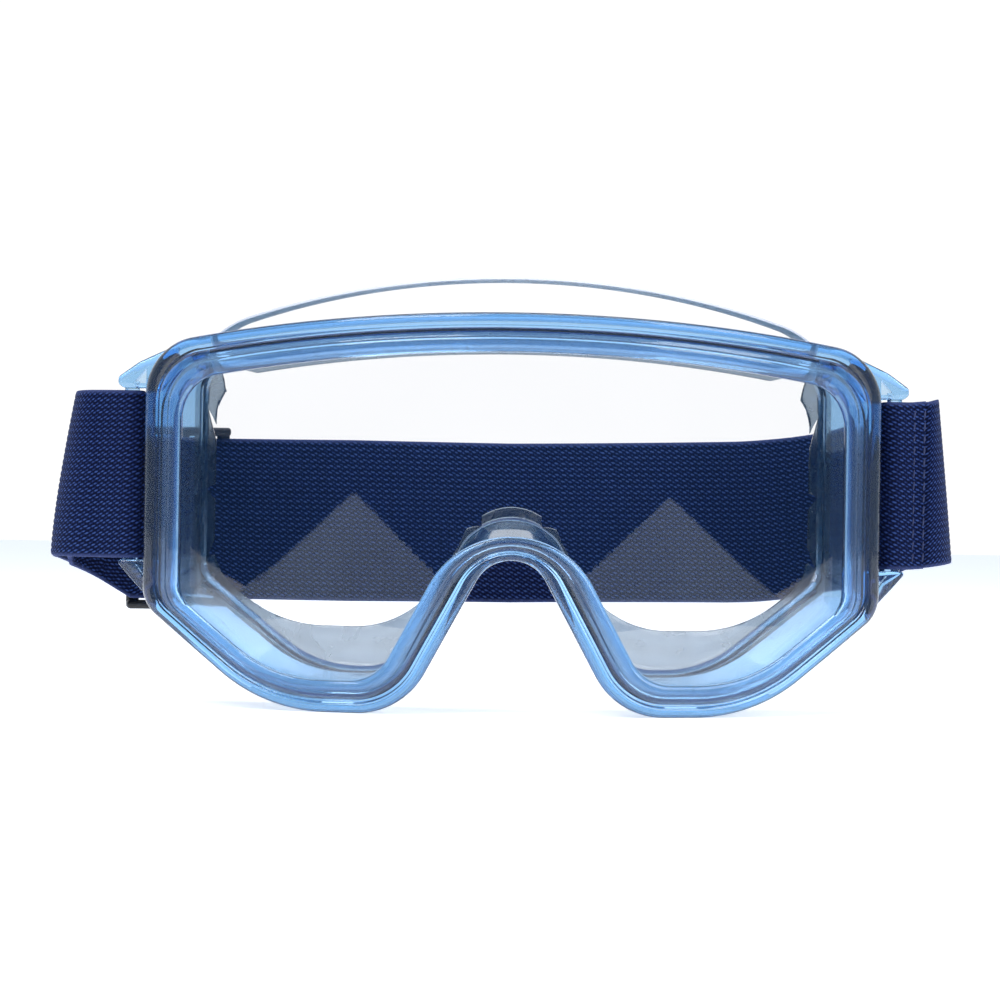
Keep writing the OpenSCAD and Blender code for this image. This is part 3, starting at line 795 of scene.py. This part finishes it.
def strap_route():
    """The strap from its sewn end at the right bar, round the head, to the left bar and back."""
    tail = [(SEAM_X - 1.4, BAR_Y - STRAP / 2), (MERGE_X, BAR_Y - STRAP / 2)]
    right_bar = arc((BAR_X, BAR_Y), WRAP, WRAP, 270 + LEAN, 90 - LEAN)
    right_fold = arc((SEAM_X, FOLD_Y), FOLD_REACH, FOLD_DEPTH, -90, 90)
    run = [(FLAT_X + 12, BACK_Y - 12 * math.tan(RUN_ANGLE)), (FLAT_X, BACK_Y - 0.7), (FLAT_X - 14, BACK_Y)]
    left_fold = on_side(-1, arc((SEAM_X, FOLD_Y), FOLD_REACH, FOLD_DEPTH, 90, -90))
    left_bar = on_side(-1, arc((BAR_X, BAR_Y), WRAP, WRAP, 270 + LEAN, 90 + LEAN / 2))
    inner = on_side(-1, arc((SEAM_X, FOLD_Y), FOLD_REACH - 3.2, FOLD_DEPTH - INNER_STEP, -90, 90))
    return (tail + right_bar + [(MERGE_X, SEAM_Y)] + right_fold + run
            + on_side(-1, run[::-1]) + left_fold + [(-SEAM_X + 0.8, SEAM_Y)] + left_bar
            + [(-SEAM_X + 0.8, SEAM_Y + INNER_STEP)] + inner)


def run_point(along, off):
    """A point on the left run of the strap, measured from the fold."""
    x = -(SEAM_X - along * math.cos(RUN_ANGLE) + off * math.sin(RUN_ANGLE))
    return x, RUN_Y + along * math.sin(RUN_ANGLE) + off * math.cos(RUN_ANGLE)


def headband():
    """The strap in two lengths, so that the slider can slide along one of them."""
    cloth = webbing_material("strap_webbing")
    band = webbing("headband_webbing", strap_route(), lean=fold_lean)
    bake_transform(band)
    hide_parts("left_strap_loop", "right_strap_loop", "right_sewn_tail", "left_fold", "right_fold",
                "back_strap")
    inner_end = (-SEAM_X, FOLD_Y + FOLD_DEPTH - INNER_STEP)
    hem_start = run_point(SLIDER_PLACE - 4.0, HEM_Y)
    tail = webbing("return_webbing", [inner_end, hem_start], phase=2.0, wave=0.0)
    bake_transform(tail)
    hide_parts("return_strap")
    for piece in (band, tail):
        paint(piece, cloth)
    hem(cloth)


def hem(cloth):
    """The end of the strap, turned over the slider's middle bar and sewn down."""
    ring = []
    for along, off in [(-4.2, 1.2), (2.2, 1.75), (3.1, 1.0), (3.3, 0.0), (3.1, -1.0), (2.2, -1.75),
                       (-4.2, -1.2)]:
        ring.append(run_point(SLIDER_PLACE + along, HEM_Y + off))
    piece = webbing("slider_hem_webbing", ring, height=lambda x, y: STRAP_BACK_Z + 0 * y, step=0.5, wave=0.0)
    paint(piece, cloth)
    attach(piece, "slider_body")
    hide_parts("slider_hem")


# ---------------------------------------------------------------- the slider
SLIDER_LENGTH = 24.0
SLIDER_BAR = 3.0
BAR_THICK = 1.5
RAIL = 2.0
REAR = STRAP / 2 + 0.3


def bevelled_box(b, low, high, bevel):
    """Adds one box with rounded edges to a bmesh, in mm."""
    size = np.array(high) - np.array(low)
    centre = (np.array(high) + np.array(low)) / 2
    made = bmesh.ops.create_cube(b, size=1)
    for vertex in made["verts"]:
        vertex.co = Vector(centre + np.array(vertex.co) * size)
    edges = {edge for vertex in made["verts"] for edge in vertex.link_edges}
    bmesh.ops.bevel(b, geom=list(edges), offset=bevel, segments=4, profile=0.5, affect="EDGES")


def slider_body():
    """A moulded tri-glide: two rails, two bars behind the strap and one in front of it."""
    half = STRAP_WIDTH / 2 + 0.3
    b = bmesh.new()
    for side in (-1, 1):
        near, far = sorted((side * half, side * (half + RAIL)))
        bevelled_box(b, (-SLIDER_LENGTH / 2, HEM_Y - BAR_THICK / 2, near),
                     (SLIDER_LENGTH / 2, REAR + BAR_THICK, far), 0.8)
        middle = side * (SLIDER_LENGTH - SLIDER_BAR) / 2
        bevelled_box(b, (middle - SLIDER_BAR / 2, REAR, -half - RAIL / 2),
                     (middle + SLIDER_BAR / 2, REAR + BAR_THICK, half + RAIL / 2), 0.6)
    bevelled_box(b, (-SLIDER_BAR / 2, HEM_Y - BAR_THICK / 2, -half - RAIL / 2),
                 (SLIDER_BAR / 2, HEM_Y + BAR_THICK / 2, half + RAIL / 2), 0.6)
    origin = run_point(SLIDER_PLACE, 0)
    for vertex in b.verts:
        x, y, z = vertex.co
        place = origin[0] + x * math.cos(RUN_ANGLE) - y * math.sin(RUN_ANGLE)
        deep = origin[1] + x * math.sin(RUN_ANGLE) + y * math.cos(RUN_ANGLE)
        vertex.co = Vector(row_point(place, deep, z + STRAP_BACK_Z))
    mesh = bpy.data.meshes.new("tri_glide_slider")
    b.to_mesh(mesh)
    b.free()
    piece = bpy.data.objects.new("tri_glide_slider", mesh)
    bpy.context.scene.collection.objects.link(piece)
    finish_shading(piece, 40)
    paint(piece, black_plastic("slider_black"))
    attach(piece, "slider_body")
    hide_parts("slider")


def stitch_row(b, x, y, low, high, count, lean):
    """A row of thread stitches on the face of the strap, each one a short capsule."""
    for i in range(count):
        z = low + (high - low) * (i + 0.5) / count
        made = bmesh.ops.create_uvsphere(b, u_segments=8, v_segments=6, radius=1)
        for vertex in made["verts"]:
            vx, vy, vz = vertex.co
            vertex.co = Vector((x + 0.22 * vx + lean * 0.5 * vz, y + 0.2 * vy, z + 1.05 * vz))


def stitching():
    """Two rows of thread at the right bar and two at the slider."""
    thread = thread_material("thread")
    b = bmesh.new()
    for x in (SEAM_X - 3.9, SEAM_X - 1.6):
        stitch_row(b, x, BAR_Y - STRAP - 0.02, STRAP_FRONT_Z - STITCH_REACH,
                   STRAP_FRONT_Z + STITCH_REACH, STITCHES, 0.2)
    for vertex in b.verts:
        vertex.co = Vector(row_point(*vertex.co))
    mesh = bpy.data.meshes.new("right_end_stitching")
    b.to_mesh(mesh)
    b.free()
    right = bpy.data.objects.new("right_end_stitching", mesh)
    b = bmesh.new()
    origin = run_point(SLIDER_PLACE, 0)
    for along in (-2.0, 2.0):
        stitch_row(b, along, HEM_Y - 2.3, -STITCH_REACH, STITCH_REACH, STITCHES, 0.2)
    for vertex in b.verts:
        x, y, z = vertex.co
        place = origin[0] + x * math.cos(RUN_ANGLE) - y * math.sin(RUN_ANGLE)
        deep = origin[1] + x * math.sin(RUN_ANGLE) + y * math.cos(RUN_ANGLE)
        vertex.co = Vector(row_point(place, deep, z + STRAP_BACK_Z))
    mesh = bpy.data.meshes.new("slider_end_stitching")
    b.to_mesh(mesh)
    b.free()
    left = bpy.data.objects.new("slider_end_stitching", mesh)
    for piece, body, node in ((right, "frame", "right_stitching"), (left, "slider_body", "hem_stitching")):
        bpy.context.scene.collection.objects.link(piece)
        finish_shading(piece, 60)
        paint(piece, thread)
        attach(piece, body)
        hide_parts(node)


headband()
slider_body()
stitching()


# ---------------------------------------------------------------- stage, light and camera
def emitter(name, location, size, power, target=(0, 0, 0.045), colour=(1, 1, 1)):
    light = bpy.data.lights.new(name, "AREA")
    light.shape = "RECTANGLE"
    light.size, light.size_y = size
    light.energy = power
    light.color = colour
    lamp = bpy.data.objects.new(name, light)
    lamp.location = location
    lamp.rotation_euler = (Vector(target) - Vector(location)).to_track_quat("-Z", "Y").to_euler()
    bpy.context.scene.collection.objects.link(lamp)


def white_card(name, points, strength, tone=(0.95, 0.95, 0.95)):
    card = new_object(name, points, [tuple(range(len(points)))])
    m, nodes, links, shader, output = material(name + "_paper")
    grain = noise(nodes, links, 300, 3)
    paper = ramp(nodes, links, grain.outputs["Fac"], [(0.3, tuple(0.97 * c for c in tone)), (0.7, tone)])
    links.new(paper.outputs["Color"], shader.inputs["Base Color"])
    shader.inputs["Roughness"].default_value = 0.9
    shader.inputs["Emission Color"].default_value = (*tone, 1)
    shader.inputs["Emission Strength"].default_value = strength
    paint(card, m)
    return card


def reflector(side):
    """A low white card in front, off to one side, that the lens reflects as a pale peak."""
    distance = 0.7
    points = []
    for azimuth, height in ((11, 0.002), (15, 0.012), (27, 0.026), (39, 0.049), (48, 0.036), (58, 0.022),
                            (70, 0.008), (70, 0.0), (39, 0.0), (11, 0.0)):
        a = math.radians(azimuth)
        points.append((side * distance * math.sin(a), FRONT * MM - distance * math.cos(a), height))
    white_card("reflector_left" if side < 0 else "reflector_right", points, 0.30, (0.50, 0.60, 0.72))


def world_light():
    world = bpy.data.worlds.new("studio")
    bpy.context.scene.world = world
    world.use_nodes = True
    nodes, links = world.node_tree.nodes, world.node_tree.links
    background = nodes["Background"]
    where = nodes.new("ShaderNodeTexCoord")
    split = nodes.new("ShaderNodeSeparateXYZ")
    links.new(where.outputs["Generated"], split.inputs["Vector"])
    # bright behind the object, blue-grey at the sides, deep blue in front
    tone = ramp(nodes, links, split.outputs["Y"], [(0.0, (0.03, 0.11, 0.30)), (0.35, (0.38, 0.50, 0.66)),
                                                   (0.85, (1.0, 1.0, 1.0))])
    links.new(tone.outputs["Color"], background.inputs["Color"])
    background.inputs["Strength"].default_value = 1.05


def stage():
    """Floor, reflectors and lamps."""
    far, near = 3.0, -0.55
    white_card("floor", [(-far, near, 0), (far, near, 0), (far, far, 0), (-far, far, 0)], 0.60)
    for side in (-1, 1):
        reflector(side)
    world_light()
    emitter("key", (-0.5, -0.9, 0.9), (0.7, 0.7), 11)
    emitter("fill", (0.8, -0.7, 0.6), (0.6, 0.6), 6)
    emitter("top", (0.0, 0.1, 1.2), (1.0, 0.6), 6)


def camera():
    """The photograph's viewpoint: level, in front, with a slight roll."""
    distance = 850.0
    scale = 0.2151                       # mm across one thousandth of the picture, at the front of the rim
    data = bpy.data.cameras.new("camera")
    data.sensor_width = 36
    data.lens = 36 * distance / (1000 * scale)
    data.clip_start = 0.05
    data.clip_end = 20
    eye = bpy.data.objects.new("camera", data)
    aside, height, roll = -2.7, 46.7, -0.9
    eye.location = to_row(aside, -distance, height)
    eye.rotation_euler = (math.radians(90), math.radians(roll), 0)
    bpy.context.scene.collection.objects.link(eye)
    bpy.context.scene.camera = eye


stage()
camera()
bpy.context.scene.view_settings.view_transform = "Standard"
